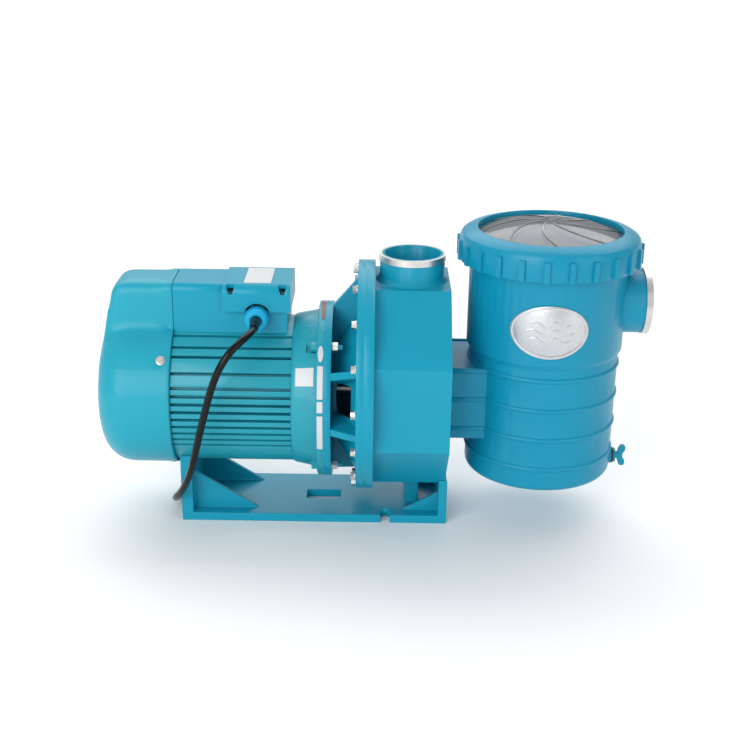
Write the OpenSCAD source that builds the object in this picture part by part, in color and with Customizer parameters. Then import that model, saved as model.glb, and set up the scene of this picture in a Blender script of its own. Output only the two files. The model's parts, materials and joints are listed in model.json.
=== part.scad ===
// Self-priming pool pump: a fan-cooled motor on a moulded base, a lantern, an eight-sided casing
// and a strainer pot. X runs along the shaft towards the strainer, Y across it, Z up.
// The origin is on the base's underside, straight below the axis of the outlet port.

/* [Motor] */
// Height of the shaft's axis above the floor
shaft_z = 147; // [140:1:155]
// Radius over the tips of the motor's cooling fins
frame_r = 84.3; // [80:0.1:88]
// Where the fan cover meets the finned frame
frame_back_x = -264.5; // [-270:0.5:-255]
// Where the finned frame meets the drive end shield
frame_front_x = -132; // [-138:0.5:-126]
// Depth of the grooves between the fins
groove_depth = 9; // [6:0.5:11]
// Width of a groove between two fins
groove_w = 3.4; // [2.5:0.1:4]
// Rearmost point of the fan cover
cover_back_x = -349; // [-360:1:-340]
// Outer radius of the fan cover
cover_r = 88; // [87:0.5:92]
// Radius of the motor shaft
shaft_r = 9; // [8:0.5:11]

/* [Terminal box] */
// Half the width of the hood that covers the capacitor and the terminals
hood_half_w = 34; // [30:1:38]
// Height of the hood's top above the floor
hood_z = 280; // [272:1:286]
// Half the width of the terminal box's lid
lid_half_w = 41; // [38:1:46]
// Where the lid starts, towards the fan
lid_back_x = -209; // [-215:1:-200]
// Where the lid ends, towards the pump
lid_front_x = -134; // [-140:1:-128]
// Height of the lid's lower edge
lid_low_z = 251; // [246:1:256]

/* [Cord] */
// Diameter of the mains lead
cord_d = 8; // [6:0.5:9]
// Place of the gland along the shaft
gland_x = -171; // [-180:1:-160]
// Height of the gland's axis
gland_z = 245; // [240:1:248]

/* [Casing] */
// Height of the casing's centre above the floor
casing_z = 165; // [160:1:170]
// Radius of the round flange behind the casing
flange_r = 131.5; // [128:0.5:135]
// Corner radius of the eight-sided casing
casing_r = 124.6; // [120:0.1:127]
// Rear face of the lantern's big plate
plate_x = -60; // [-64:0.5:-56]
// Seam between the lantern's plate and the casing's flange
seam_x = -52; // [-54:0.5:-50]
// Front face of the casing's flange
flange_x = -41; // [-44:0.5:-38]
// Front face of the casing
casing_x = 42; // [36:1:46]
// Wall of the moulded casing and pot
wall = 6; // [4:0.5:7]
// Radius of the circle of casing bolts
bolt_circle_r = 125; // [122:0.5:126]

/* [Ports] */
// Inner radius of both sockets, for a 63 mm pipe
socket_r = 31.6; // [30:0.1:32]
// Depth of both sockets
socket_depth = 34; // [28:1:38]
// Outer radius of the steel rings on the ports
port_ring_r = 37.4; // [36:0.1:39]
// Height of the outlet's rim
outlet_z = 310; // [304:1:316]
// Height of the inlet's axis
inlet_z = 258.5; // [252:0.5:262]
// Where the inlet's rim ends
inlet_x = 265.4; // [260:0.2:270]

/* [Strainer pot] */
// Distance from the outlet's axis to the pot's axis
pot_x = 152; // [146:1:158]
// Outer radius of the pot below its step
pot_r = 84.5; // [82:0.5:86]
// Outer radius of the pot above its step
drum_r = 88; // [86:0.5:90]
// Height of the pot's bottom
pot_low_z = 57; // [54:1:60]
// Height of the step where the pot widens
step_z = 213; // [208:1:218]
// Height of the lock ring's lower edge
ring_low_z = 306; // [302:1:308]
// Height of the lock ring's top
ring_top_z = 341; // [338:1:345]
// Outer radius of the lock ring
ring_r = 100; // [98:0.5:102]
// Radius of the clear window in the ring
window_r = 80.5; // [76:0.5:84]
// Half the height of the duct between casing and pot
duct_half_h = 41; // [38:1:44]
// Half the width of the duct
duct_half_w = 51; // [46:1:56]

/* [Base] */
// Length of the base
base_l = 306; // [296:1:316]
// Width of the base
base_w = 108; // [100:1:116]
// Thickness of the base's plate
base_t = 10; // [8:0.5:12]
// Rear end of the base
base_back_x = -261; // [-266:1:-256]

/* [Hidden] */
$fn = 96;

base_front_x = base_back_x + base_l;
mid_frame_x = (frame_front_x + frame_back_x) / 2;
motor_flange_x = -104;
bolt_seat_x = motor_flange_x + 0.4;
lantern_x = -96;
lantern_ring_x = -88;
motor_flange_r = 101;
motor_bolt_r = 92;
motor_bolt_angles = [40, 140, 220, 320];
cover_screw_x = -275;
cover_screw_angles = [51, 171, 291];
octagon_apothem = casing_r * cos(22.5);
casing_top_z = casing_z + octagon_apothem;
pot_floor_z = pot_low_z + wall;
rim_z = 324;
run_gap = 0.05;
coil_x = -205;
coil_y = 205;
coil_mid_r = 46;
coil_half_w = 1.5 * cord_d;
coil_low_z = 0.6;
plug_x = -152;
plug_r = 52;
plug_z = 9.8;
coil_h = 2.1 * cord_d;
gland_front_y = 56;
strain_l = 24;
lid_dome_z = 349;
lid_edge_z = rim_z + 11;
basket_rim_z = step_z - 5;
drain_x = pot_x + pot_r + 3;
drain_z = 67;
duct_z = shaft_z + 2;

// Turns a profile drawn as [radius, distance along X] about the motor's axis.
module turn_x(z = shaft_z, angle = 360) {
    translate([0, 0, z]) rotate([0, 90, 0]) rotate_extrude(angle = angle) children();
}

// A round bar along X.
module bar_x(r, x0, x1, z = shaft_z, y = 0) {
    translate([x0, y, z]) rotate([0, 90, 0]) cylinder(r = r, h = x1 - x0);
}

// A tube along X.
module tube_x(r, hole, x0, x1, z = shaft_z) {
    difference() {
        bar_x(r, x0, x1, z);
        bar_x(hole, x0 - 1, x1 + 1, z);
    }
}

// Extrudes an outline drawn as [Y, Z] along X.
module prism_x(x0, x1) {
    translate([x0, 0, 0]) rotate([90, 0, 90]) linear_extrude(x1 - x0) children();
}

// Extrudes an outline drawn as [X, Z] across Y, from y0 to y1.
module prism_y(y0, y1) {
    translate([0, y1, 0]) rotate([90, 0, 0]) linear_extrude(y1 - y0) children();
}

// Copies its child to an angle from the top, about the motor's axis or another one.
module at_angle(angle, z = shaft_z) {
    translate([0, 0, z]) rotate([angle, 0, 0]) translate([0, 0, -z]) children();
}

// A hex head or nut lying on a bolt circle, with its axis along X.
module hex_x(across, x0, x1, z) {
    translate([x0, 0, z]) rotate([0, 90, 0]) cylinder(d = across / cos(30), h = x1 - x0, $fn = 6);
}

// Base.

// The end wall that carries the motor: its top follows the motor's underside.
module rear_wall() {
    difference() {
        translate([base_back_x, -base_w / 2, 0]) cube([13, base_w, 84]);
        bar_x(frame_r + 0.3, base_back_x - 1, base_back_x + 14);
    }
}

// The end wall that carries the casing: its top follows the casing's underside.
module front_wall() {
    difference() {
        translate([base_front_x - 10, -base_w / 2, 0]) cube([10, base_w, 58]);
        prism_x(base_front_x - 11, base_front_x + 1) octagon(octagon_apothem + 0.3);
    }
}

module octagon(apothem) {
    translate([0, casing_z]) rotate(22.5) circle(r = apothem / cos(22.5), $fn = 8);
}

module gussets() {
    for (side = [-1, 1]) translate([0, side * 36, 0]) {
        prism_y(-2.5, 2.5) polygon([
            [base_back_x + 12, 5], [base_back_x + 12, 57],
            [base_back_x + 88, base_t], [base_back_x + 88, 5],
        ]);
        prism_y(-2.5, 2.5) polygon([
            [base_front_x - 9, 5], [base_front_x - 9, 33],
            [base_front_x - 50, base_t], [base_front_x - 50, 5],
        ]);
    }
}

module base() {
    color("teal") difference() {
        union() {
            translate([base_back_x, -base_w / 2, 0]) cube([base_l, base_w, base_t]);
            rear_wall();
            front_wall();
            gussets();
            translate([-3, -17, base_t - 1]) cube([16, 34, casing_z - octagon_apothem - base_t + 0.7]);
        }
        translate([-119, -11, -1]) cube([40, 22, base_t + 2]);
        for (side = [-1, 1]) translate([-26, side * (base_w / 2 - 11), -1]) {
            cylinder(d = 11.5, h = base_t + 2);
            translate([-5.75, side > 0 ? 0 : -20, 0]) cube([11.5, 20, base_t + 2]);
        }
    }
}

// Motor.

// Grooves of the frame as angles from the top: a few high ones, two wide pads, then a close row.
groove_angles = [27.5, 38.6, 46.8, 60, for (k = [0 : 8]) 71 + 6.2 * k];

module frame_section() {
    difference() {
        translate([0, shaft_z]) circle(r = frame_r);
        translate([0, shaft_z]) circle(r = 70);
        for (angle = groove_angles, side = [-1, 1]) {
            translate([0, shaft_z]) rotate(side * angle)
                translate([-groove_w / 2, frame_r - groove_depth]) square([groove_w, 20]);
        }
    }
}

module motor_frame() {
    color("teal") prism_x(frame_back_x, frame_front_x) frame_section();
}

module rear_end_shield() {
    color("teal") difference() {
        turn_x() polygon([
            [17.5 + run_gap, frame_back_x - 14], [22, frame_back_x - 14], [22, frame_back_x - 6],
            [78, frame_back_x - 6], [78, frame_back_x - 17], [84.8, frame_back_x - 17], [84.8, frame_back_x],
            [69.7, frame_back_x], [69.7, frame_back_x + 8], [66, frame_back_x + 8], [66, frame_back_x],
            [17.5 + run_gap, frame_back_x],
        ]);
        for (angle = cover_screw_angles) at_angle(angle)
            translate([cover_screw_x, 0, shaft_z + 76]) cylinder(d = 4.3, h = 12);
    }
}

// The drive end shield widens to the motor's flange, where four bolts hold it to the lantern.
module drive_end_shield() {
    color("teal") difference() {
        turn_x() polygon([
            [20 + run_gap, frame_front_x - 2], [66, frame_front_x - 2], [66, frame_front_x - 8],
            [69.7, frame_front_x - 8], [69.7, frame_front_x], [85, frame_front_x],
            [86.5, frame_front_x + 3], [91.5, motor_flange_x], [motor_flange_r - 1, motor_flange_x],
            [motor_flange_r, motor_flange_x + 1], [motor_flange_r, lantern_x],
            [60, lantern_x], [60, lantern_x - 6], [24, lantern_x - 12], [20 + run_gap, lantern_x - 12],
        ]);
        for (angle = motor_bolt_angles) at_angle(angle) {
            bar_x(6.8, motor_flange_x - 12, bolt_seat_x, shaft_z + motor_bolt_r + 0.5);
            bar_x(3.4, bolt_seat_x - 1, lantern_x + 1, shaft_z + motor_bolt_r);
        }
    }
}

// Hood of the fan cover, seen from the end: a box with round upper corners over the motor.
module hood_section(half_w, top_z, low_z, corner) {
    translate([-half_w, low_z]) square([2 * half_w, top_z - corner - low_z]);
    translate([-half_w + corner, low_z]) square([2 * (half_w - corner), top_z - low_z]);
    for (side = [-1, 1]) translate([side * (half_w - corner), top_z - corner]) circle(r = corner);
}

// Side outline of the fan cover's hood, with its sloping and rounded back.
module hood_side(back_x, top_z) {
    polygon([
        [frame_back_x + 1, shaft_z], [frame_back_x + 1, top_z], [back_x + 24, top_z],
        [back_x + 15, top_z - 7], [back_x, shaft_z + 50], [back_x, shaft_z],
    ]);
}

module cover_profile(r, back_x, inner) {
    bend = 34;
    polygon([
        [0, frame_back_x + (inner ? 1 : 0)], [r, frame_back_x + (inner ? 1 : 0)],
        for (k = [0 : 12]) let (a = 90 * k / 12)
            [r - bend + bend * cos(a), back_x + bend - bend * sin(a)],
        [0, back_x],
    ]);
}

// The fan cover is a deep cup with a hood on top and a round grille of slots behind the fan.
module fan_cover() {
    color("teal") difference() {
        union() {
            turn_x() cover_profile(cover_r, cover_back_x, false);
            intersection() {
                prism_x(cover_back_x, frame_back_x) hood_section(hood_half_w, hood_z, shaft_z, 9);
                prism_y(-60, 60) hood_side(cover_back_x + 1, hood_z);
            }
        }
        turn_x() cover_profile(cover_r - 3, cover_back_x + 3, true);
        intersection() {
            prism_x(cover_back_x + 4, frame_back_x + 1)
                hood_section(hood_half_w - 3, hood_z - 3, shaft_z, 6);
            prism_y(-60, 60) hood_side(cover_back_x + 5, hood_z - 3);
        }
        for (k = [0 : 11]) at_angle(30 * k) {
            for (r = [27, 40, 53]) translate([cover_back_x - 1, -4.5, shaft_z + r - 4]) cube([6, 9, 8]);
        }
        for (angle = cover_screw_angles) at_angle(angle)
            translate([cover_screw_x, 0, shaft_z + 75]) cylinder(d = 5, h = 20);
    }
}

module fan_cover_screws() {
    color("silver") for (angle = cover_screw_angles) at_angle(angle) translate([cover_screw_x, 0, shaft_z]) {
        translate([0, 0, 76.5]) cylinder(d = 4.2, h = 12.5);
        translate([0, 0, cover_r + 0.1]) cylinder(d = 11, h = 1);
        translate([0, 0, cover_r + 1]) cylinder(d = 8.4, h = 2.4);
    }
}

module motor_bolts() {
    color("teal") for (angle = motor_bolt_angles) at_angle(angle) {
        bar_x(3, bolt_seat_x - 1, lantern_ring_x + 12, shaft_z + motor_bolt_r);
        bar_x(6, bolt_seat_x - 1.5, bolt_seat_x, shaft_z + motor_bolt_r);
        hex_x(10, bolt_seat_x - 7, bolt_seat_x - 1.5, shaft_z + motor_bolt_r);
    }
}

module motor_nuts() {
    color("silver") for (angle = motor_bolt_angles) at_angle(angle) difference() {
        union() {
            bar_x(6, lantern_ring_x, lantern_ring_x + 1.5, shaft_z + motor_bolt_r);
            hex_x(10, lantern_ring_x + 1.5, lantern_ring_x + 7, shaft_z + motor_bolt_r);
        }
        bar_x(3.05, lantern_ring_x - 1, lantern_ring_x + 8, shaft_z + motor_bolt_r);
    }
}

module stator_core() {
    color("dimgray") tube_x(69.9, 40, mid_frame_x - 35, mid_frame_x + 35);
}

module stator_windings() {
    color("peru") {
        tube_x(62, 42, mid_frame_x - 54, mid_frame_x - 35);
        tube_x(62, 42, mid_frame_x + 35, mid_frame_x + 54);
    }
}

module rear_bearing() {
    color("silver") tube_x(17.5, shaft_r + run_gap, frame_back_x - 12, frame_back_x - 1);
}

module drive_bearing() {
    color("silver") tube_x(20, shaft_r + run_gap, lantern_x - 24, lantern_x - 12);
}

module shaft() {
    color("lightgray") bar_x(shaft_r, -330, 6);
}

module rotor_core() {
    color("gray") tube_x(39.4, shaft_r, mid_frame_x - 38, mid_frame_x + 38);
}

module cooling_fan() {
    color("dimgray") {
        tube_x(17, shaft_r, -326, -296);
        tube_x(74, 16, -302, -299);
        for (k = [0 : 6]) at_angle(360 / 7 * k)
            translate([-326, -1.5, shaft_z + 16]) cube([25, 3, 56]);
    }
}

// Terminal box.

// The frame's saddle carries a box for the capacitor, behind, and for the terminals, in front.
module terminal_box() {
    color("teal") difference() {
        union() {
            prism_x(frame_back_x, lid_back_x) hood_section(hood_half_w, hood_z, shaft_z + 60, 9);
            prism_x(lid_back_x, lid_front_x - 4)
                translate([-hood_half_w, shaft_z + 60]) square([2 * hood_half_w, lid_low_z - shaft_z - 60]);
        }
        bar_x(frame_r, frame_back_x - 1, lid_front_x);
        prism_x(frame_back_x + 3, lid_back_x - 3)
            hood_section(hood_half_w - 3, hood_z - 3, shaft_z + frame_r + 3, 6);
        prism_x(lid_back_x, lid_front_x - 7) translate([3 - hood_half_w, shaft_z + frame_r + 3])
            square([2 * hood_half_w - 6, 60]);
        translate([gland_x, -hood_half_w + 4, gland_z]) rotate([90, 0, 0]) cylinder(r = 5, h = 8);
    }
}

module terminal_box_lid() {
    color("teal") difference() {
        prism_x(lid_back_x + 0.3, lid_front_x) hood_section(lid_half_w, hood_z + 1, lid_low_z, 10);
        prism_x(lid_back_x + 4, lid_front_x - 4)
            hood_section(lid_half_w - 5, hood_z - 3, lid_low_z - 1, 7);
        for (x = [lid_back_x + 9, lid_front_x - 9], side = [-1, 1]) {
            translate([x, side * (lid_half_w - 4), hood_z - 9]) cylinder(r = 4.5, h = 20);
        }
        translate([gland_x, -hood_half_w + 2, gland_z]) rotate([90, 0, 0]) cylinder(r = 15.5, h = 12);
    }
}

module terminal_box_screws() {
    color("dimgray") for (x = [lid_back_x + 9, lid_front_x - 9], side = [-1, 1]) {
        translate([x, side * (lid_half_w - 4), hood_z - 9]) cylinder(r = 3.6, h = 2.6);
    }
}

module terminal_block() {
    color("ivory") translate([-190, -16, shaft_z + frame_r + 3]) {
        cube([38, 32, 8]);
        for (k = [0 : 4]) translate([1 + 7.5 * k, 2, 8]) cube([5.5, 28, 9]);
    }
}

module capacitor() {
    color("whitesmoke") bar_x(19, frame_back_x + 5, lid_back_x - 6, shaft_z + frame_r + 24);
}

// Mains lead.

module cable_gland() {
    color("deepskyblue") translate([gland_x, -hood_half_w, gland_z]) rotate([90, 0, 0]) difference() {
        union() {
            cylinder(d = 26, h = 6, $fn = 6);
            cylinder(r = 10.5, h = 15);
        }
        translate([0, 0, -1]) cylinder(r = cord_d / 2, h = 30);
    }
}

module cable_gland_nut() {
    color("deepskyblue") translate([gland_x, 0, gland_z]) rotate([90, 0, 0]) rotate_extrude() polygon([
        [10.5, hood_half_w + 8], [13.2, hood_half_w + 8], [13.2, gland_front_y - 6],
        for (k = [1 : 6]) let (a = 90 * k / 6) [9.2 + 4 * cos(a), gland_front_y - 6 + 6 * sin(a)],
        [6.5, gland_front_y], [6.5, hood_half_w + 15], [10.5, hood_half_w + 15],
    ]);
}

// A tapered rubber sleeve that keeps the lead from kinking where it leaves the gland.
module strain_relief() {
    color("black") translate([gland_x, 0, gland_z]) rotate([90, 0, 0]) rotate_extrude() polygon([
        [0, hood_half_w + 15], [6.5, hood_half_w + 15], [6.5, gland_front_y],
        [cord_d / 2 + 0.8, gland_front_y + strain_l], [0, gland_front_y + strain_l],
    ]);
}

// The lead leaves the gland, drops past the motor, rounds the base's rear wall and lies behind it.
cord_route = [
    [gland_x, -gland_front_y - strain_l, gland_z], [-172, -88.5, 245], [-175.5, -99, 244],
    [-181.5, -109, 240.5], [-190, -117, 234], [-199, -122, 222.5], [-207, -122, 207],
    [-213.5, -119.5, 189.5], [-219, -117, 171], [-224, -115, 152.5], [-229, -112, 133.5],
    [-234, -107, 114], [-239, -101, 94.5], [-245, -92, 75.5], [-252, -81, 58], [-259.5, -68.5, 43],
    [-267, -53, 30], [-271, -34, 18.5], [-272, -13, 10], [-271.5, 9, 5.5], [-270, 34, 4.3],
    [-269, 60, 4.3], [-269, 90, 4.3], [-268, 120, 4.3], [-265.5, 150, 4.3],
    [-261.5, 178, 4.4], [coil_x - coil_mid_r - cord_d, coil_y, coil_low_z + cord_d / 2],
];

function unit(v) = v / norm(v);
function sub_points(p, n) = [
    for (i = [0 : len(p) - 2], k = [0 : n - 1]) let (
        a = p[max(i - 1, 0)], b = p[i], c = p[i + 1], d = p[min(i + 2, len(p) - 1)], t = k / n
    ) 0.5 * (2 * b + (c - a) * t + (2 * a - 5 * b + 4 * c - d) * t * t + (3 * b - a - 3 * c + d) * t * t * t),
    p[len(p) - 1],
];
function tangent(p, i) = unit(p[min(i + 1, len(p) - 1)] - p[max(i - 1, 0)]);
function ring_of(p, i, r, sides) = let (
    t = tangent(p, i), up = abs(t[2]) > 0.9 ? [0, 1, 0] : [0, 0, 1],
    u = unit(cross(up, t)), w = cross(t, u)
) [for (k = [0 : sides - 1]) p[i] + r * (cos(360 * k / sides) * u + sin(360 * k / sides) * w)];

// A tube with round ends swept along points.
module swept_tube(p, r, sides) {
    points = [for (i = [0 : len(p) - 1]) each ring_of(p, i, r, sides)];
    last = (len(p) - 1) * sides;
    polyhedron(points, concat(
        [[for (k = [0 : sides - 1]) sides - 1 - k]],
        [for (i = [0 : len(p) - 2], k = [0 : sides - 1]) let (
            a = i * sides + k, b = i * sides + (k + 1) % sides
        ) [a, b, b + sides, a + sides]],
        [[for (k = [0 : sides - 1]) last + k]]
    ));
}

module power_cord() {
    color("black") swept_tube(sub_points(cord_route, 3), cord_d / 2, 10);
}

module power_cord_coil() {
    color("black") translate([coil_x, coil_y, coil_low_z]) rotate_extrude()
        translate([coil_mid_r - coil_half_w, 0]) square([2 * coil_half_w, coil_h]);
}

module cord_tie() {
    color("white") translate([coil_x + coil_mid_r, coil_y, 0]) difference() {
        translate([-coil_half_w - 1.4, -4, 0]) cube([2 * coil_half_w + 2.8, 8, 2 * coil_low_z + coil_h]);
        translate([-coil_half_w - 0.5, -5, coil_low_z]) cube([2 * coil_half_w + 1, 10, coil_h]);
    }
}

// The plug lies beside the coil: a rubber body with two round pins and a sleeve round the lead.
module power_plug() {
    color("black") translate([plug_x, coil_y + plug_r, plug_z]) {
        translate([0, -11, -9.5]) cube([30, 22, 19]);
        rotate([0, -90, 0]) cylinder(r = cord_d / 2 + 0.3, h = 31);
        for (side = [-1, 1]) translate([29, side * 6.5, 0]) rotate([0, 90, 0]) cylinder(r = 2.3, h = 19);
    }
}

// Lantern.

// Distance from the motor's axis to a circle about the casing's centre, at an angle from the top.
function to_casing_circle(r, angle) = let (rise = casing_z - shaft_z)
    rise * cos(angle) + sqrt(r * r - pow(rise * sin(angle), 2));

rib_angles = [0, 62, 98, 180, 262, 298];

module lantern() {
    color("teal") difference() {
        union() {
            bar_x(motor_flange_r, lantern_x, lantern_ring_x);
            bar_x(flange_r, plate_x, seam_x, casing_z);
            turn_x() polygon([
                [20, lantern_ring_x - 1], [50, lantern_ring_x - 1], [96, plate_x + 1], [20, plate_x + 1],
            ]);
            for (angle = rib_angles) at_angle(angle) prism_y(-4, 4) polygon([
                [lantern_ring_x - 1, shaft_z + 40], [lantern_ring_x - 1, shaft_z + motor_flange_r - 1],
                [plate_x + 1, shaft_z + to_casing_circle(117, angle)], [plate_x + 1, shaft_z + 40],
            ]);
        }
        turn_x() polygon([
            [16, lantern_x - 1], [60, lantern_x - 1], [60, lantern_x], [44, lantern_ring_x],
            [80, plate_x - 6], [80, plate_x + 4], [16, plate_x + 4],
        ]);
        bar_x(16, lantern_x - 2, seam_x + 1);
        for (angle = motor_bolt_angles) at_angle(angle)
            bar_x(3.3, lantern_x - 1, lantern_ring_x + 1, shaft_z + motor_bolt_r);
        for (k = [0 : 15]) at_angle(22.5 * k, casing_z) bar_x(3.3, -70, -40, casing_z + bolt_circle_r);
        for (side = [-1, 1]) at_angle(side * 80) translate([lantern_ring_x + 1, -18, shaft_z + 52])
            cube([plate_x - lantern_ring_x - 7, 36, 60]);
    }
}

module seal_seat() {
    color("ghostwhite") tube_x(15.9, shaft_r + 1, seam_x - 8, seam_x - 2);
}

module seal_rotor() {
    color("dimgray") {
        tube_x(14.5, shaft_r, seam_x - 2 + run_gap, seam_x + 4);
        tube_x(13, shaft_r, seam_x + 4, seam_x + 14);
    }
}

module impeller() {
    color("khaki") {
        tube_x(16, shaft_r, -36, -4);
        tube_x(62, 15, -36, -33);
        tube_x(62, 26, -20, -17);
        for (k = [0 : 5]) at_angle(60 * k) translate([-34, 0, shaft_z + 15]) cube([15, 3, 45]);
        tube_x(30, 26, -18, -2);
    }
}

module impeller_nut() {
    color("gold") difference() {
        union() {
            bar_x(12, -4, -2);
            hex_x(20, -2, 8, shaft_z);
        }
        bar_x(shaft_r, -5, 6);
    }
}

// The diffuser guides the water from the impeller round into the casing.
module diffuser() {
    color("khaki") {
        tube_x(80, 64.5, seam_x, -12);
        tube_x(80, 31, -12, -9);
        tube_x(37, 31, -10, casing_x - wall);
    }
}

module casing_gasket() {
    color("black") tube_x(116, 112, seam_x, seam_x + 2.5, casing_z);
}

// Casing.

module casing_bore() {
    prism_x(flange_x - 1, casing_x - wall) octagon(octagon_apothem - wall);
    bar_x(octagon_apothem - wall, seam_x - 1, flange_x, casing_z);
    tube_x(116.1, 100, seam_x - 1, seam_x + 2.5, casing_z);
    translate([0, 0, casing_top_z - wall - 5]) cylinder(r = 26, h = 30);
    translate([0, 0, outlet_z - socket_depth]) cylinder(r = socket_r, h = socket_depth + 1);
}

module pump_casing() {
    color("teal") difference() {
        union() {
            bar_x(flange_r, seam_x, flange_x, casing_z);
            prism_x(flange_x - 0.5, casing_x) octagon(octagon_apothem);
            translate([0, 0, casing_top_z - 12])
                cylinder(r = port_ring_r - 1.2, h = outlet_z - casing_top_z + 12);
            translate([0, 0, casing_top_z - 1]) cylinder(r1 = port_ring_r + 4, r2 = port_ring_r - 1.2, h = 6);
        }
        casing_bore();
        translate([0, 0, outlet_z - 7]) difference() {
            cylinder(r = 60, h = 10);
            translate([0, 0, -1]) cylinder(r = 34.4, h = 12);
        }
        bar_x(31, casing_x - 10, casing_x + 1);
        for (k = [0 : 15]) at_angle(22.5 * k, casing_z)
            bar_x(3.05, seam_x - 1, flange_x - 2, casing_z + bolt_circle_r);
    }
}

module casing_bolts() {
    color("silver") for (k = [0 : 15]) at_angle(22.5 * k, casing_z) {
        bar_x(3, plate_x - 1, flange_x - 3, casing_z + bolt_circle_r);
        bar_x(5.4, plate_x - 1.2, plate_x, casing_z + bolt_circle_r);
        hex_x(8, plate_x - 5.6, plate_x - 1.2, casing_z + bolt_circle_r);
    }
}

module outlet_ring() {
    color("silver") translate([0, 0, outlet_z - 7]) difference() {
        cylinder(r = port_ring_r, h = 7);
        translate([0, 0, -1]) cylinder(r = 34.4, h = 9);
    }
}

// Strainer pot.

module pot_outline() {
    polygon([
        [0, pot_low_z], [pot_r - 8, pot_low_z],
        for (k = [0 : 5]) let (a = 90 * k / 5) [pot_r - 8 + 8 * sin(a), pot_low_z + 8 - 8 * cos(a)],
        [pot_r, step_z - 10], [drum_r, step_z - 4], [drum_r, ring_low_z - 4], [drum_r + 4, ring_low_z - 2],
        [drum_r + 4, rim_z], [0, rim_z],
    ]);
    for (z = [85, 120, 155, 190.5]) translate([pot_r - 1, z]) circle(r = 3, $fn = 24);
}

module pot_hollow() {
    polygon([
        [0, pot_floor_z], [pot_r - wall - 4, pot_floor_z], [pot_r - wall, pot_floor_z + 4],
        [pot_r - wall, step_z - 10], [drum_r - wall, step_z - 4], [drum_r - wall, rim_z + 1], [0, rim_z + 1],
    ]);
}

module strainer_pot() {
    color("teal") difference() {
        union() {
            translate([pot_x, 0, 0]) rotate_extrude() pot_outline();
            translate([casing_x, -duct_half_w, duct_z - duct_half_h])
                cube([pot_x - casing_x - 40, 2 * duct_half_w, 2 * duct_half_h]);
            for (z = [120, 155, 189], side = [-1, 1]) translate([casing_x, side * (duct_half_w - 1), z])
                rotate([0, 90, 0]) cylinder(r = 3, h = 46);
            bar_x(port_ring_r - 1.2, pot_x + 60, inlet_x, inlet_z);
            bar_x(9.8, drain_x - 8, drain_x, drain_z);
        }
        translate([pot_x, 0, 0]) rotate_extrude() pot_hollow();
        translate([casing_x - 1, -duct_half_w + 5, duct_z - duct_half_h + 5])
            cube([60, 2 * duct_half_w - 10, 2 * duct_half_h - 10]);
        bar_x(26, pot_x + 60, inlet_x + 1, inlet_z);
        bar_x(socket_r, inlet_x - socket_depth, inlet_x + 1, inlet_z);
        tube_x(60, 34.4, inlet_x - 7, inlet_x + 1, inlet_z);
        bar_x(7.05, pot_x + 70, pot_x + 100, drain_z);
        translate([pot_x, 0, rim_z - 4]) difference() {
            cylinder(r = 90.1, h = 5);
            translate([0, 0, -1]) cylinder(r = 85.5, h = 7);
        }
    }
}

module inlet_ring() {
    color("silver") tube_x(port_ring_r, 34.4, inlet_x - 7, inlet_x, inlet_z);
}

// A blank oval plate that follows the pot's wall.
module badge() {
    color("gainsboro") translate([pot_x, 0, 0]) intersection() {
        difference() {
            cylinder(r = drum_r + 1.6, h = 320);
            translate([0, 0, -1]) cylinder(r = drum_r + 0.05, h = 322);
        }
        translate([-6, 0, 248]) prism_y(-120, 0)
            polygon([for (k = [0 : 47]) [42 * cos(7.5 * k), 30 * sin(7.5 * k)]]);
    }
}

// The basket hangs from a rim over the pot's inner step, and its wall is a grid of slots.
module strainer_basket() {
    color("white") translate([pot_x, 0, 0]) difference() {
        rotate_extrude() polygon([
            [0, 84], [64, 84], [73, basket_rim_z], [81, basket_rim_z], [81, basket_rim_z + 4],
            [70.4, basket_rim_z + 4], [62, 87], [0, 87],
        ]);
        for (k = [0 : 17], z = [94, 122, 150, 178]) rotate([0, 0, 20 * k])
            translate([40, -4, z]) cube([50, 8, 22]);
        for (k = [0 : 8]) rotate([0, 0, 40 * k]) translate([16, -4, 80]) cube([40, 8, 10]);
    }
}

module basket_handle() {
    color("white") translate([pot_x, 0, basket_rim_z + 4]) rotate([90, 0, 0]) {
        translate([0, 0, -4]) linear_extrude(8) difference() {
            circle(r = 74);
            circle(r = 70);
            translate([-90, -90]) square([180, 90]);
            translate([-30, 40]) square([60, 60]);
        }
        translate([-31, 63.5, -6]) cube([62, 4, 12]);
    }
}

module lid_seal() {
    color("black") translate([pot_x, 0, rim_z - 4]) difference() {
        cylinder(r = 90, h = 4);
        translate([0, 0, -1]) cylinder(r = 85.6, h = 6);
    }
}

// Height of the clear lid's dome at a distance from its axis.
function dome_z(r, top_z) = top_z - (lid_dome_z - lid_edge_z) * pow(r / window_r, 2);

// The clear lid is a dome with a flat rim that the lock ring holds down on the seal.
module strainer_lid() {
    color([0.8, 0.85, 0.88, 0.5]) translate([pot_x, 0, 0]) {
        rotate_extrude() polygon([
            [drum_r - 14, rim_z + 0.3], [92, rim_z + 0.3], [92, rim_z + 5], [window_r - 0.6, rim_z + 5],
            for (k = [0 : 10]) let (r = (window_r - 0.6) * (1 - k / 10)) [r, dome_z(r, lid_dome_z)],
            for (k = [0 : 10]) let (r = (window_r - 5) * k / 10) [r, dome_z(r, lid_dome_z - 4)],
            [drum_r - 14, rim_z + 5],
        ]);
        translate([0, 0, lid_dome_z - 2]) cylinder(r = 4.5, h = 3.5);
    }
}

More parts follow.
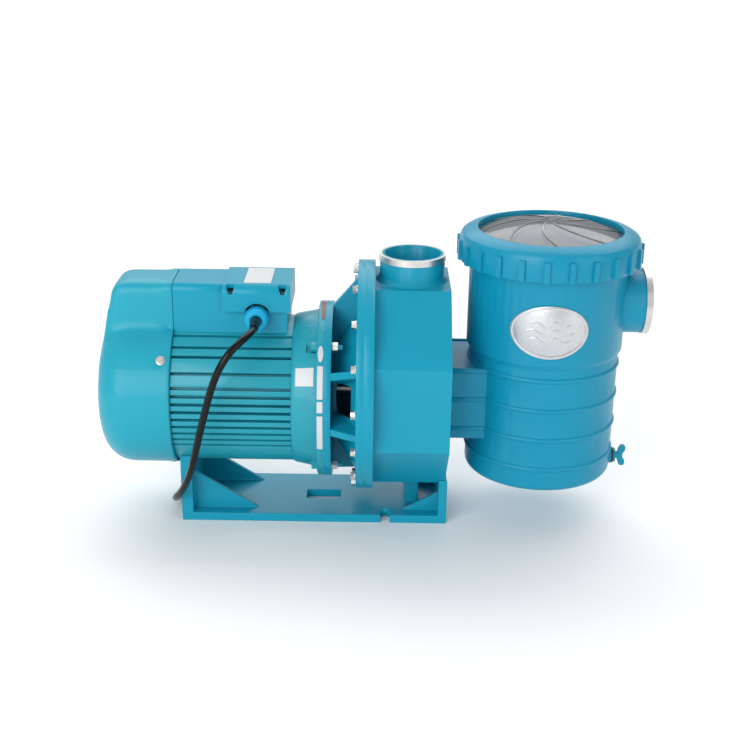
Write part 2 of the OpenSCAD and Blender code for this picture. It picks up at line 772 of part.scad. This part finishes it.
module lock_ring() {
    color("teal") translate([pot_x, 0, 0]) {
        rotate_extrude() polygon([
            [drum_r + 4.6, ring_low_z], [ring_r, ring_low_z], [ring_r, ring_top_z - 11],
            [ring_r - 2.5, ring_top_z - 6], [ring_r - 8, ring_top_z - 2.5], [window_r + 3, ring_top_z],
            [window_r, ring_top_z], [window_r, rim_z + 5.4], [drum_r + 4.6, rim_z + 5.4],
        ]);
        for (k = [0 : 23]) rotate([0, 0, 15 * k + 6.5]) translate([ring_r - 3, -3, ring_low_z + 0.5])
            cube([6, 6, ring_top_z - 13 - ring_low_z]);
    }
}

module drain_seal() {
    color("black") tube_x(9.4, 7.1, drain_x + 0.3, drain_x + 2.2, drain_z);
}

module drain_plug() {
    color("teal") {
        bar_x(6.8, drain_x - 8, drain_x + 2.5, drain_z);
        bar_x(8.5, drain_x + 2.5, drain_x + 5, drain_z);
        bar_x(4, drain_x + 4, drain_x + 10, drain_z);
        translate([drain_x, 0, drain_z]) prism_y(-2, 2) polygon([
            [5, -3.5], [8, -4], [10.5, -11.5], [13, -13], [16, -12.5], [17.5, -10], [17, -6], [14.5, -2.5],
            [14.5, 2.5], [17, 6], [17.5, 10], [16, 12.5], [13, 13], [10.5, 11.5], [8, 4], [5, 3.5],
        ]);
    }
}

// Blank labels.

// A thin label on a round wall about the motor's axis, between two angles from the top.
module arc_label(r, x0, x1, from, to) {
    at_angle(180 + from) turn_x(shaft_z, to - from) translate([r + 0.05, x0]) square([0.4, x1 - x0]);
}

// The rating label follows the drive end shield's slight cone.
module rating_label() {
    color("white") at_angle(180 + 55) turn_x(shaft_z, 13) polygon([
        [86.95, motor_flange_x - 23], [90.95, motor_flange_x - 3],
        [91.35, motor_flange_x - 3], [87.35, motor_flange_x - 23],
    ]);
}

module flange_labels() {
    color("white") {
        intersection() {
            arc_label(motor_flange_r, -102.6, -96.4, 41, 54);
            at_angle(47.5) translate([-99.5, 0, shaft_z + 80]) linear_extrude(30)
                polygon([for (k = [0 : 23]) [3 * cos(15 * k), 9.5 * sin(15 * k)]]);
        }
        arc_label(motor_flange_r, -102.6, -96.4, 55.5, 76);
        arc_label(motor_flange_r, -102.6, -96.4, 77.5, 84.5);
        arc_label(motor_flange_r, -102.6, -96.4, 86.7, 110.5);
    }
}

// A triangular pointer on top of the motor's flange shows which way the shaft turns.
module turn_label() {
    color("firebrick") intersection() {
        arc_label(motor_flange_r, -102.6, -96.4, -7, 20);
        translate([0, 0, shaft_z + 80]) linear_extrude(30)
            polygon([[-102.6, 12], [-96.4, 12], [-96.4, -36], [-99.5, -36]]);
    }
}

module box_label() {
    color("white") translate([-186, -30, hood_z + 1.05]) cube([30, 58, 0.4]);
}

base();
motor_frame();
fan_cover();
fan_cover_screws();
rear_end_shield();
drive_end_shield();
motor_bolts();
motor_nuts();
stator_core();
stator_windings();
rear_bearing();
drive_bearing();
shaft();
rotor_core();
cooling_fan();
terminal_box();
terminal_box_lid();
terminal_box_screws();
terminal_block();
capacitor();
cable_gland();
cable_gland_nut();
strain_relief();
power_cord();
power_cord_coil();
cord_tie();
power_plug();
lantern();
seal_seat();
seal_rotor();
impeller();
impeller_nut();
diffuser();
casing_gasket();
pump_casing();
casing_bolts();
outlet_ring();
strainer_pot();
inlet_ring();
badge();
strainer_basket();
basket_handle();
lid_seal();
strainer_lid();
lock_ring();
drain_seal();
drain_plug();
rating_label();
flange_labels();
turn_label();
box_label();
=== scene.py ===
import json
import math
import bpy
from mathutils import Matrix, Vector

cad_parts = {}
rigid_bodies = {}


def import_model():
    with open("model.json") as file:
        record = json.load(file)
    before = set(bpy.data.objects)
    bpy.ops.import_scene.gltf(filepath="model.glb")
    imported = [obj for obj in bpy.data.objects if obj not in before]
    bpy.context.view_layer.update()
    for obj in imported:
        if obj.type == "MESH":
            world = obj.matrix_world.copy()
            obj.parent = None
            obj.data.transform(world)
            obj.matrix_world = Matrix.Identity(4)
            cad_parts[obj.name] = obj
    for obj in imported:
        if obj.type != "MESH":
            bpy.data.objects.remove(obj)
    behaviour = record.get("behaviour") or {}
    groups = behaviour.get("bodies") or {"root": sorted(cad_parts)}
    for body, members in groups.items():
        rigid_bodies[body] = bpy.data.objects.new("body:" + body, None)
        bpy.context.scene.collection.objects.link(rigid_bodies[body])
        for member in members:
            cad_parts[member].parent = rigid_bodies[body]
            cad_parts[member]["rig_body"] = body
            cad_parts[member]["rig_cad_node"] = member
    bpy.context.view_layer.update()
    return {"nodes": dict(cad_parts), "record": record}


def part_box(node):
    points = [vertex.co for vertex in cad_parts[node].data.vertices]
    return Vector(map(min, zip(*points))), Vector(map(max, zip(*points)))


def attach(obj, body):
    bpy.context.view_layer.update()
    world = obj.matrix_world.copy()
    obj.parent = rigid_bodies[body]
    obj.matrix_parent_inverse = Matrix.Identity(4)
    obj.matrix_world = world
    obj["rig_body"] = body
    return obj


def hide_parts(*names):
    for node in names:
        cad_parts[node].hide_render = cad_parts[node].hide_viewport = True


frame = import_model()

scene = bpy.context.scene
nodes = frame["nodes"]
print("frame loaded with", len(nodes), "nodes")


# Small helpers for making pieces.
helper = {"weldDistance": 0.00001, "smoothAngle": math.radians(40)}


def clearSelection():
    if bpy.context.object and bpy.context.object.mode != "OBJECT":
        bpy.ops.object.mode_set(mode="OBJECT")
    bpy.ops.object.select_all(action="DESELECT")


def pick(piece):
    clearSelection()
    piece.select_set(True)
    bpy.context.view_layer.objects.active = piece


def settle(piece, name, body):
    pick(piece)
    bpy.ops.object.transform_apply(location=True, rotation=True, scale=True)
    piece.name = name
    piece.data.name = name
    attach(piece, body)


def applyAll(piece):
    pick(piece)
    for modifier in list(piece.modifiers):
        bpy.ops.object.modifier_apply(modifier=modifier.name)


def copyNode(name):
    source = nodes[name]
    piece = source.copy()
    piece.data = source.data.copy()
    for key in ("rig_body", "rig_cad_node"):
        if key in piece:
            del piece[key]
    piece.parent = None
    scene.collection.objects.link(piece)
    pick(piece)
    bpy.ops.object.mode_set(mode="EDIT")
    bpy.ops.mesh.select_all(action="SELECT")
    bpy.ops.mesh.remove_doubles(threshold=helper["weldDistance"])
    bpy.ops.object.mode_set(mode="OBJECT")
    return piece


def smoothShade():
    bpy.ops.object.shade_smooth_by_angle(angle=helper["smoothAngle"])


# The bevel is 1 m at a radius of 1, so each knot's radius is the rope's own.
def ropeCurve(name, points, radius, roundness, smoothness):
    curve = bpy.data.curves.new(name, "CURVE")
    curve.dimensions = "3D"
    curve.bevel_depth = 1
    curve.bevel_resolution = roundness
    curve.resolution_u = smoothness
    curve.use_fill_caps = True
    spline = curve.splines.new("BEZIER")
    spline.bezier_points.add(len(points) - 1)
    for knot, point in zip(spline.bezier_points, points):
        knot.co = point
        knot.radius = radius
        knot.handle_left_type = knot.handle_right_type = "AUTO"
    piece = bpy.data.objects.new(name, curve)
    scene.collection.objects.link(piece)
    return piece


# Camera.
cameraSetup = {
    "place": (-0.040, -1.346, 0.681),
    "pitchDown": 21.04,
    "roll": 0.87,
    "lens": 59.86,
    "sensor": 36,
}


def makeCamera(setup):
    data = bpy.data.cameras.new("camera")
    data.lens = setup["lens"]
    data.sensor_width = setup["sensor"]
    camera = bpy.data.objects.new("camera", data)
    scene.collection.objects.link(camera)
    tilt = Matrix.Rotation(math.radians(90 - setup["pitchDown"]), 4, "X")
    roll = Matrix.Rotation(math.radians(setup["roll"]), 4, "Z")
    camera.matrix_world = Matrix.Translation(setup["place"]) @ tilt @ roll
    scene.camera = camera


makeCamera(cameraSetup)


# Mains lead.
lead = {
    "diameter": 0.008,
    "length": 1.80,
    "roundness": 5,
    "smoothness": 4,
    "coilCentre": (-0.205, 0.205),
    "floorLayer": 0.0046,
    "topLayer": 0.0134,
    "outerTurn": 0.054,
    "innerTurn": 0.0364,
    "turnSpacing": 0.0084,
    "turns": 4.25,
    "pointsPerTurn": 16,
    "climb": (1.9, 2.3),
    "route": [
        (-0.171, -0.080, 0.245), (-0.172, -0.0885, 0.245), (-0.1755, -0.099, 0.244),
        (-0.1815, -0.109, 0.2405), (-0.190, -0.117, 0.234), (-0.199, -0.122, 0.2225),
        (-0.207, -0.122, 0.207), (-0.2135, -0.1195, 0.1895), (-0.219, -0.117, 0.171),
        (-0.224, -0.115, 0.1525), (-0.229, -0.112, 0.1335), (-0.234, -0.107, 0.114),
        (-0.239, -0.101, 0.0945), (-0.245, -0.092, 0.0755), (-0.252, -0.081, 0.058),
        (-0.2595, -0.0685, 0.043), (-0.267, -0.053, 0.030), (-0.271, -0.034, 0.0185),
        (-0.272, -0.013, 0.010), (-0.2715, 0.009, 0.0055), (-0.270, 0.034, 0.0043),
        (-0.269, 0.060, 0.0043), (-0.269, 0.090, 0.0043), (-0.268, 0.120, 0.0043),
        (-0.2655, 0.150, 0.0043), (-0.2615, 0.178, 0.0044), (-0.259, 0.205, 0.0046),
    ],
    "toPlug": [
        (-0.188, 0.257, 0.0130), (-0.171, 0.257, 0.0108), (-0.158, 0.257, 0.0099),
        (-0.151, 0.257, 0.0098),
    ],
}


def coilPoint(lead, turn):
    start, end = lead["climb"]
    rise = min(max((turn - start) / (end - start), 0), 1)
    rise = rise * rise * (3 - 2 * rise)
    if turn < end:
        radius = max(lead["innerTurn"], lead["outerTurn"] - lead["turnSpacing"] * turn)
    else:
        radius = lead["innerTurn"] + lead["diameter"] * (turn - end)
    angle = math.pi - 2 * math.pi * turn
    x, y = lead["coilCentre"]
    height = lead["floorLayer"] + rise * (lead["topLayer"] - lead["floorLayer"])
    return x + radius * math.cos(angle), y + radius * math.sin(angle), height


def makeLead(lead):
    steps = round(lead["turns"] * lead["pointsPerTurn"])
    coil = [coilPoint(lead, k / lead["pointsPerTurn"]) for k in range(1, steps + 1)]
    points = lead["route"] + coil + lead["toPlug"]
    piece = ropeCurve("power_lead", points, lead["diameter"] / 2, lead["roundness"], lead["smoothness"])
    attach(piece, "pump")
    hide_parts("power_cord", "power_cord_coil")
    return piece


powerLead = makeLead(lead)
print("camera and mains lead made")


# Shader maths: a wire carries a value from one node to the next.
class Wire:
    def __init__(self, finish, socket):
        self.finish = finish
        self.socket = socket

    def math(self, operation, first, second):
        node = self.finish.add("ShaderNodeMath", {"operation": operation}, {0: first, 1: second})
        return Wire(self.finish, node.outputs[0])

    def __add__(self, other):
        return self.math("ADD", self, other)

    def __mul__(self, other):
        return self.math("MULTIPLY", self, other)

    __radd__ = __add__
    __rmul__ = __mul__


class Finish:
    def __init__(self, name):
        self.material = bpy.data.materials.new(name)
        self.material.use_nodes = True
        self.tree = self.material.node_tree
        self.tree.nodes.clear()
        self.shader = self.add("ShaderNodeBsdfPrincipled")
        self.add("ShaderNodeOutputMaterial", None, {"Surface": self.shader.outputs[0]})
        self.place = self.add("ShaderNodeTexCoord").outputs["Object"]

    def add(self, kind, settings=None, inputs=None):
        node = self.tree.nodes.new(kind)
        for key, value in (settings or {}).items():
            setattr(node, key, value)
        for key, value in (inputs or {}).items():
            self.connect(value, node.inputs[key])
        return node

    def connect(self, value, socket):
        if isinstance(value, Wire):
            value = value.socket
        if isinstance(value, bpy.types.NodeSocket):
            self.tree.links.new(value, socket)
        else:
            socket.default_value = value

    def noise(self, scale, detail, stretch=(1, 1, 1)):
        mapping = self.add("ShaderNodeMapping", None, {"Vector": self.place, "Scale": stretch})
        settings = {"Vector": mapping.outputs[0], "Scale": scale, "Detail": detail}
        node = self.add("ShaderNodeTexNoise", None, settings)
        return Wire(self, node.outputs[0])

    def blend(self, factor, first, second):
        node = self.add("ShaderNodeMix", {"data_type": "RGBA"}, {0: factor, 6: first, 7: second})
        return node.outputs[2]

    def bump(self, height, strength, distance):
        inputs = {"Height": height, "Strength": strength, "Distance": distance}
        self.use(Normal=self.add("ShaderNodeBump", None, inputs).outputs[0])

    def use(self, **values):
        for key, value in values.items():
            self.connect(value, self.shader.inputs[key.replace("_", " ")])


def tint(colour, factor):
    return (*[min(1, channel * factor) for channel in colour], 1)


# Moulded or painted surfaces: two close shades in soft patches, uneven gloss and a fine skin.
def mouldedFinish(name, style):
    finish = Finish(name)
    patches = finish.noise(style["patchScale"], detail=3)
    skin = finish.noise(style["skinScale"], detail=2)
    colour = style["colour"]
    spread = style["spread"]
    shade = finish.blend(patches, tint(colour, 1 - spread), tint(colour, 1 + spread))
    roughness = patches * style["glossSpread"] + (style["roughness"] - style["glossSpread"] / 2)
    finish.use(
        Base_Color=shade, Roughness=roughness, Specular_IOR_Level=style["specular"],
        Coat_Weight=style["coat"], Coat_Roughness=style["coatRoughness"],
    )
    finish.bump(skin, style["skinDepth"], style["skinHeight"])
    return finish.material


# Turned or drawn metal: fine marks, packed closest along the axis with the largest stretch.
def turnedFinish(name, style):
    finish = Finish(name)
    marks = finish.noise(style["markScale"], detail=4, stretch=style["stretch"])
    patches = finish.noise(style["patchScale"], detail=2)
    colour = style["colour"]
    shade = finish.blend(marks, tint(colour, 1 - style["spread"]), tint(colour, 1 + style["spread"]))
    smoothest = style["roughness"] - (style["markGloss"] + style["patchGloss"]) / 2
    roughness = marks * style["markGloss"] + patches * style["patchGloss"] + smoothest
    finish.use(Base_Color=shade, Roughness=roughness, Metallic=style["metallic"])
    finish.bump(marks, style["markDepth"], style["markHeight"])
    return finish.material


# Clear moulding: see-through in part, with faint clouding and a slight ripple.
def clearFinish(name, style):
    finish = Finish(name)
    clouds = finish.noise(style["patchScale"], detail=3)
    colour = style["colour"]
    shade = finish.blend(clouds, tint(colour, style["darkest"]), tint(colour, style["palest"]))
    finish.use(
        Base_Color=shade, Roughness=clouds * style["glossSpread"] + style["roughness"],
        Alpha=clouds * style["alphaSpread"] + style["alpha"],
        Coat_Weight=style["coat"], Coat_Roughness=style["coatRoughness"],
    )
    finish.bump(clouds, style["rippleDepth"], style["rippleHeight"])
    return finish.material


moulded = {
    "patchScale": 5, "spread": 0.06, "roughness": 0.36, "glossSpread": 0.08, "specular": 0.22,
    "coat": 0.08, "coatRoughness": 0.15, "skinScale": 900, "skinDepth": 0.06, "skinHeight": 0.0004,
}
painted = moulded | {
    "patchScale": 7, "spread": 0.05, "roughness": 0.38, "specular": 0.3,
    "coat": 0.15, "coatRoughness": 0.16, "skinScale": 420, "skinDepth": 0.16,
}
matt = moulded | {
    "patchScale": 20, "spread": 0.07, "roughness": 0.55, "glossSpread": 0.12, "specular": 0.5,
    "coat": 0, "coatRoughness": 0.1, "skinScale": 1100, "skinDepth": 0.15,
}
turned = {
    "markScale": 30, "stretch": (1, 1, 30), "patchScale": 18, "spread": 0.14, "roughness": 0.34,
    "markGloss": 0.16, "patchGloss": 0.08, "metallic": 1, "markDepth": 0.25, "markHeight": 0.0002,
}
clear = {
    "patchScale": 14, "darkest": 0.94, "palest": 1.04, "glossSpread": 0.06, "alphaSpread": 0.10,
    "coat": 0.6, "coatRoughness": 0.04, "rippleDepth": 0.05, "rippleHeight": 0.0004,
}

mouldedStyles = {
    "housing_plastic": moulded | {"colour": (0.004, 0.285, 0.420)},
    "pot_plastic": moulded | {"colour": (0.003, 0.255, 0.405)},
    "fan_cover_plastic": moulded | {"colour": (0.012, 0.320, 0.430)},
    "gland_plastic": moulded | {"colour": (0.006, 0.36, 0.62)},
    "motor_paint": painted | {"colour": (0.012, 0.300, 0.390)},
    "black_steel": painted | {"colour": (0.012, 0.04, 0.05)},
    "fan_plastic": matt | {"colour": (0.03, 0.03, 0.034)},
    "terminal_plastic": matt | {"colour": (0.76, 0.71, 0.58)},
    "capacitor_can": matt | {"colour": (0.78, 0.78, 0.76)},
    "cord_rubber": matt | {"colour": (0.003, 0.003, 0.0035), "roughness": 0.20, "specular": 0.24},
    "tie_plastic": matt | {"colour": (0.72, 0.72, 0.70)},
    "seal_ceramic": matt | {"colour": (0.80, 0.78, 0.74), "roughness": 0.3},
    "seal_rubber": matt | {"colour": (0.016, 0.016, 0.018)},
    "impeller_plastic": matt | {"colour": (0.52, 0.44, 0.27)},
    "basket_plastic": matt | {"colour": (0.66, 0.67, 0.68)},
    "label_white": matt | {"colour": (0.60, 0.62, 0.64), "roughness": 0.4},
    "label_red": matt | {"colour": (0.16, 0.05, 0.04), "roughness": 0.4},
}
turnedStyles = {
    "zinc_steel": turned | {"colour": (0.62, 0.62, 0.60)},
    "ring_steel": turned | {"colour": (0.66, 0.65, 0.63)},
    "core_steel": turned | {"colour": (0.16, 0.16, 0.17), "stretch": (60, 1, 1)},
    "winding_copper": turned | {"colour": (0.62, 0.27, 0.10), "stretch": (40, 1, 1)},
    "bearing_steel": turned | {"colour": (0.70, 0.70, 0.71), "roughness": 0.25},
    "shaft_steel": turned | {"colour": (0.62, 0.62, 0.63), "stretch": (50, 1, 1)},
    "rotor_aluminium": turned | {"colour": (0.45, 0.45, 0.46)},
    "nut_brass": turned | {"colour": (0.65, 0.46, 0.17)},
    "badge_silver": turned | {
        "colour": (0.58, 0.60, 0.62), "stretch": (1, 1, 1), "markScale": 300, "metallic": 0.7},
}
clearStyles = {
    "lid_clear": clear | {"colour": (0.22, 0.24, 0.265), "roughness": 0.08, "alpha": 0.46},
}

finishes = {name: mouldedFinish(name, style) for name, style in mouldedStyles.items()}
finishes |= {name: turnedFinish(name, style) for name, style in turnedStyles.items()}
finishes |= {name: clearFinish(name, style) for name, style in clearStyles.items()}
for entry in frame["record"]["subparts"]:
    mesh = nodes[entry["node"]].data
    mesh.materials.clear()
    mesh.materials.append(finishes[entry["material_slot"]])
powerLead.data.materials.append(finishes["cord_rubber"])
print("finishes made:", len(finishes))


# Rounded edges on the CAD nodes. Flat faces are joined first, so that only real edges are rounded.
edgeStyle = {"flatAngle": math.radians(0.6), "roundAngle": math.radians(28), "segments": 2}
edgeRadii = {
    "base": 0.0020, "motor_frame": 0.0004, "terminal_box": 0.0010, "terminal_box_lid": 0.0030,
    "drive_end_shield": 0.0010, "lantern": 0.0012, "pump_casing": 0.0014, "strainer_pot": 0.0012,
    "lock_ring": 0.0010, "badge": 0.0004, "cable_gland": 0.0008, "cable_gland_nut": 0.0005,
    "drain_plug": 0.0008, "power_plug": 0.0025, "cord_tie": 0.0003, "motor_bolts": 0.0004,
    "motor_nuts": 0.0003, "casing_bolts": 0.0003, "fan_cover_screws": 0.0006,
    "terminal_box_screws": 0.0003, "strainer_basket": 0.0006, "basket_handle": 0.0008,
    "strainer_lid": 0.0008,
}


def softenEdges(name, radius):
    node = nodes[name]
    weld = node.modifiers.new("weld", "WELD")
    weld.merge_threshold = helper["weldDistance"]
    flats = node.modifiers.new("flats", "DECIMATE")
    flats.decimate_type = "DISSOLVE"
    flats.angle_limit = edgeStyle["flatAngle"]
    bevel = node.modifiers.new("round", "BEVEL")
    bevel.width = radius
    bevel.segments = edgeStyle["segments"]
    bevel.limit_method = "ANGLE"
    bevel.angle_limit = edgeStyle["roundAngle"]
    bevel.harden_normals = True


for name, radius in edgeRadii.items():
    softenEdges(name, radius)
print("edges rounded")


# The fan cover as one soft moulding: its hood flares into the round body.
coverStyle = {
    "voxel": 0.0016,
    "smoothing": 0.6,
    "passes": [
        {"rounds": 50, "from": -0.360, "to": -0.2715, "above": 0},
        {"rounds": 130, "from": -0.338, "to": -0.2715, "above": 0.195},
    ],
}


def makeFanCover(style):
    piece = copyNode("fan_cover")
    remesh = piece.modifiers.new("remesh", "REMESH")
    remesh.mode = "VOXEL"
    remesh.voxel_size = style["voxel"]
    applyAll(piece)
    for part in style["passes"]:
        soft = piece.vertex_groups.new(name="soft")
        soft.add([
            v.index for v in piece.data.vertices
            if part["from"] < v.co.x < part["to"] and v.co.z > part["above"]
        ], 1, "REPLACE")
        smooth = piece.modifiers.new("smooth", "SMOOTH")
        smooth.factor = style["smoothing"]
        smooth.iterations = part["rounds"]
        smooth.vertex_group = soft.name
        applyAll(piece)
    smoothShade()
    piece.data.materials.clear()
    piece.data.materials.append(finishes["fan_cover_plastic"])
    settle(piece, "soft_fan_cover", "pump")
    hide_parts("fan_cover")


makeFanCover(coverStyle)
print("fan cover made")


# A raised band along a path of points, each with the direction that it stands out in.
bandStyle = {"weldDistance": 0.00002, "edgeShare": 0.3, "edgeSegments": 2}


def makeBand(path, width, height, closed=False):
    clearSelection()
    bpy.ops.mesh.primitive_grid_add(x_subdivisions=len(path) - 1, y_subdivisions=1, size=1)
    piece = bpy.context.object
    last = len(path) - 1
    for k, (point, outward) in enumerate(path):
        before = path[(k - 1) % last if closed else max(k - 1, 0)][0]
        after = path[(k + 1) % last if closed else min(k + 1, last)][0]
        across = outward.cross(after - before).normalized() * width / 2
        piece.data.vertices[k].co = point - across
        piece.data.vertices[k + last + 1].co = point + across
    bpy.ops.object.mode_set(mode="EDIT")
    bpy.ops.mesh.select_all(action="SELECT")
    bpy.ops.mesh.remove_doubles(threshold=bandStyle["weldDistance"])
    bpy.ops.mesh.normals_make_consistent(inside=False)
    bpy.ops.object.mode_set(mode="OBJECT")
    if piece.data.polygons[0].normal.dot(path[0][1]) < 0:
        bpy.ops.object.mode_set(mode="EDIT")
        bpy.ops.mesh.flip_normals()
        bpy.ops.object.mode_set(mode="OBJECT")
    thick = piece.modifiers.new("thick", "SOLIDIFY")
    thick.thickness = height
    thick.offset = 1
    edge = piece.modifiers.new("edge", "BEVEL")
    edge.width = min(width, height) * bandStyle["edgeShare"]
    edge.segments = bandStyle["edgeSegments"]
    edge.limit_method = "ANGLE"
    applyAll(piece)
    smoothShade()
    return piece


def joinPieces(pieces):
    pick(pieces[0])
    for piece in pieces[1:]:
        piece.select_set(True)
    bpy.ops.object.join()
    return bpy.context.object


# Swirling ribs moulded into the clear lid, sunk a little into its dome. The hub stands above the dome.
lidLow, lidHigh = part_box("strainer_lid")
lidStyle = {
    "centre": ((lidLow[0] + lidHigh[0]) / 2, (lidLow[1] + lidHigh[1]) / 2), "hubHeight": 0.0015,
    "drop": 0.014, "reach": 0.0805, "sunk": 0.0003, "ribs": 8, "steps": 24,
    "from": 0.0062, "to": 0.078, "swirl": 48, "curl": 0.8, "width": 0.0030, "height": 0.0009,
    "finish": clear | {"colour": (0.02, 0.022, 0.027), "roughness": 0.12, "alpha": 0.88},
}


def lidPoint(style, radius, angle):
    x, y = style["centre"]
    top = lidHigh[2] - style["hubHeight"] - style["sunk"]
    height = top - style["drop"] * (radius / style["reach"]) ** 2
    point = Vector((x + radius * math.cos(angle), y + radius * math.sin(angle), height))
    slope = 2 * style["drop"] * radius / style["reach"] ** 2
    outward = Vector((slope * math.cos(angle), slope * math.sin(angle), 1)).normalized()
    return point, outward


def makeLidRibs(style):
    ribs = []
    for k in range(style["ribs"]):
        path = []
        for step in range(style["steps"] + 1):
            part = step / style["steps"]
            radius = style["from"] + (style["to"] - style["from"]) * part
            angle = math.radians(360 * k / style["ribs"] + style["swirl"] * part ** style["curl"])
            path.append(lidPoint(style, radius, angle))
        ribs.append(makeBand(path, style["width"], style["height"]))
    ribs = joinPieces(ribs)
    ribs.data.materials.append(clearFinish("lid_rib_clear", style["finish"]))
    settle(ribs, "lid_ribs", "lid")


makeLidRibs(lidStyle)
print("lid ribs made")


# A raised rim and three plain waves on the blank badge, which is curved round the pot's axis.
badgeLow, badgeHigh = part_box("badge")
badgeStyle = {
    "centre": ((badgeLow[0] + badgeHigh[0]) / 2, (badgeLow[2] + badgeHigh[2]) / 2),
    "half": ((badgeHigh[0] - badgeLow[0]) / 2, (badgeHigh[2] - badgeLow[2]) / 2),
    "axis": lidStyle["centre"][0], "sunk": 0.0002, "inset": 0.0022, "height": 0.0009,
    "rimWidth": 0.0022, "rimSteps": 72, "waveWidth": 0.0024, "waveSteps": 40, "waveRise": 0.0028,
    "waves": [
        {"up": 0.009, "half": 0.022},
        {"up": 0, "half": 0.027},
        {"up": -0.009, "half": 0.022},
    ],
}


def badgePoint(style, x, z):
    across = x - style["axis"]
    radius = -badgeLow[1] - style["sunk"]
    depth = math.sqrt(radius ** 2 - across ** 2)
    point = Vector((x, -depth, z))
    return point, Vector((across, -depth, 0)).normalized()


def makeBadgeRelief(style):
    midX, midZ = style["centre"]
    halfX = style["half"][0] - style["inset"]
    halfZ = style["half"][1] - style["inset"]
    rim = []
    for step in range(style["rimSteps"] + 1):
        turn = math.radians(360 * step / style["rimSteps"])
        rim.append(badgePoint(style, midX + halfX * math.cos(turn), midZ + halfZ * math.sin(turn)))
    pieces = [makeBand(rim, style["rimWidth"], style["height"], closed=True)]
    for wave in style["waves"]:
        path = []
        for step in range(style["waveSteps"] + 1):
            part = 2 * step / style["waveSteps"] - 1
            rise = wave["up"] + style["waveRise"] * math.sin(2 * math.pi * part)
            path.append(badgePoint(style, midX + wave["half"] * part, midZ + rise))
        pieces.append(makeBand(path, style["waveWidth"], style["height"]))
    relief = joinPieces(pieces)
    relief.data.materials.append(finishes["badge_silver"])
    settle(relief, "badge_relief", "pump")


makeBadgeRelief(badgeStyle)
print("badge relief made")


# Studio.
studio = {
    "floorSize": 60,
    "floor": matt | {"colour": (0.93, 0.93, 0.93), "spread": 0.01, "roughness": 0.7, "patchScale": 1.5},
    "worldColour": (1, 1, 1, 1),
    "worldStrength": 0.52,
    "lights": {
        "key_light": {"place": (-1.2, -2.0, 1.1), "aim": (-0.04, 0, 0.16), "size": 1.6, "power": 36},
        "fill_light": {"place": (1.6, -1.6, 0.9), "aim": (-0.04, 0, 0.16), "size": 1.4, "power": 9},
        "top_light": {"place": (0.1, 0.3, 2.2), "aim": (-0.04, 0, 0.16), "size": 1.8, "power": 3},
        "backdrop_light": {"place": (0, 8, 6), "aim": (0, 8, 0), "size": 12, "power": 900},
    },
}


def makeStudio(studio):
    clearSelection()
    bpy.ops.mesh.primitive_plane_add(size=studio["floorSize"])
    floor = bpy.context.object
    floor.name = "floor"
    floor.data.materials.append(mouldedFinish("floor_card", studio["floor"]))
    for name, light in studio["lights"].items():
        data = bpy.data.lights.new(name, "AREA")
        data.size = light["size"]
        data.energy = light["power"]
        lamp = bpy.data.objects.new(name, data)
        lamp.location = light["place"]
        aim = Vector(light["aim"]) - Vector(light["place"])
        lamp.rotation_euler = aim.to_track_quat("-Z", "Y").to_euler()
        scene.collection.objects.link(lamp)
    world = bpy.data.worlds.new("studio")
    world.use_nodes = True
    background = world.node_tree.nodes["Background"]
    background.inputs["Color"].default_value = studio["worldColour"]
    background.inputs["Strength"].default_value = studio["worldStrength"]
    scene.world = world
    scene.view_settings.view_transform = "Standard"


makeStudio(studio)
print("studio made")
